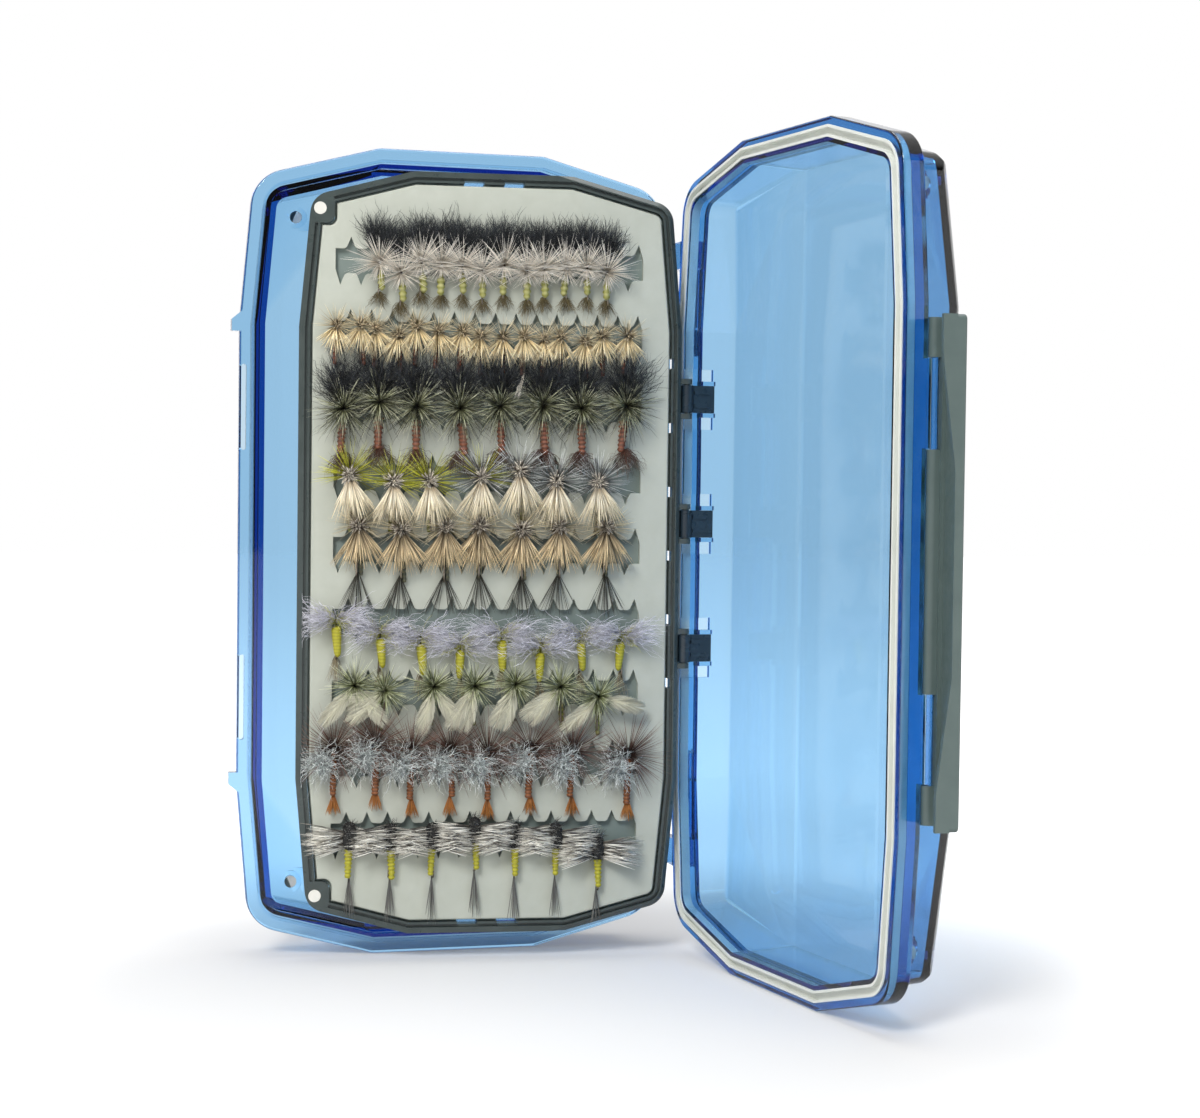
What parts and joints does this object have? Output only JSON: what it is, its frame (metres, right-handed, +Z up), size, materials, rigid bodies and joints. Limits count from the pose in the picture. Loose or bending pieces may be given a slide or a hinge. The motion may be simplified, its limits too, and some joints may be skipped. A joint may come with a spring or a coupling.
{
  "type": "fly box",
  "caption": "Hinged clear fly box standing open on its end, with a latch, a seal and a swinging slotted leaf that holds rows of flies.",
  "frame": {"origin": "middle of the overall box at the level it stands on", "axes": "+Z up along the hinge, -Y out of the base's mouth, +X towards the open lid"},
  "size_m": [0.132, 0.136, 0.186],
  "materials": {
    "shell_blue": "clear tinted, polished",
    "seal_white": "soft, matte",
    "latch_grey": "satin",
    "leaf_grey": "satin",
    "core_grey": "satin",
    "insert_pale": "soft, matte",
    "clip_dark": "satin",
    "magnet": "plated, satin",
    "pin_steel": "ground",
    "fly_1": "soft dark fibre",
    "fly_2": "soft tan fibre",
    "fly_3": "soft dark fibre",
    "fly_4": "soft straw fibre",
    "fly_5": "soft tan fibre",
    "fly_6": "soft grey fibre",
    "fly_7": "soft olive fibre",
    "fly_8": "soft brown fibre",
    "fly_9": "soft grey fibre"
  },
  "bodies": {
    "base": {"base_shell": "shell_blue", "hinge_pin_upper": "pin_steel", "hinge_pin_lower": "pin_steel", "magnet_base_upper": "magnet", "magnet_base_lower": "magnet"},
    "lid": {"lid_shell": "shell_blue", "lid_gasket": "seal_white", "leaf_clip_upper": "clip_dark", "leaf_clip_middle": "clip_dark", "leaf_clip_lower": "clip_dark", "magnet_lid_upper": "magnet", "magnet_lid_lower": "magnet"},
    "leaf": {"leaf_frame": "leaf_grey", "leaf_core": "core_grey", "insert_front": "insert_pale", "insert_back": "insert_pale", "magnet_leaf_upper": "magnet", "magnet_leaf_lower": "magnet", "fly_row_1": "fly_1", "fly_row_2": "fly_2", "fly_row_3": "fly_3", "fly_row_4": "fly_4", "fly_row_5": "fly_5", "fly_row_6": "fly_6", "fly_row_7": "fly_7", "fly_row_8": "fly_8", "fly_row_9": "fly_9"},
    "latch": {"latch": "latch_grey"}
  },
  "joints": [
    {"name": "lid_hinge", "type": "hinge", "parent": "base", "child": "lid", "pos_m": [0.04074, 0.04609, 0.093], "axis": [0, 0, 1], "range_deg": [-98.7, 25]},
    {"name": "leaf_hinge", "type": "hinge", "parent": "lid", "child": "leaf", "pos_m": [0.03746, 0.03583, 0.093], "axis": [0, 0, 1], "range_deg": [-26.9, 105.8]},
    {"name": "latch_hinge", "type": "hinge", "parent": "lid", "child": "latch", "pos_m": [0.05871, -0.05677, 0.093], "axis": [0, 0, 1], "range_deg": [-76, 64]}
  ],
  "couplings": [
    {"joint": "leaf_hinge", "follows": "lid_hinge", "ratio": -1.0709}
  ]
}
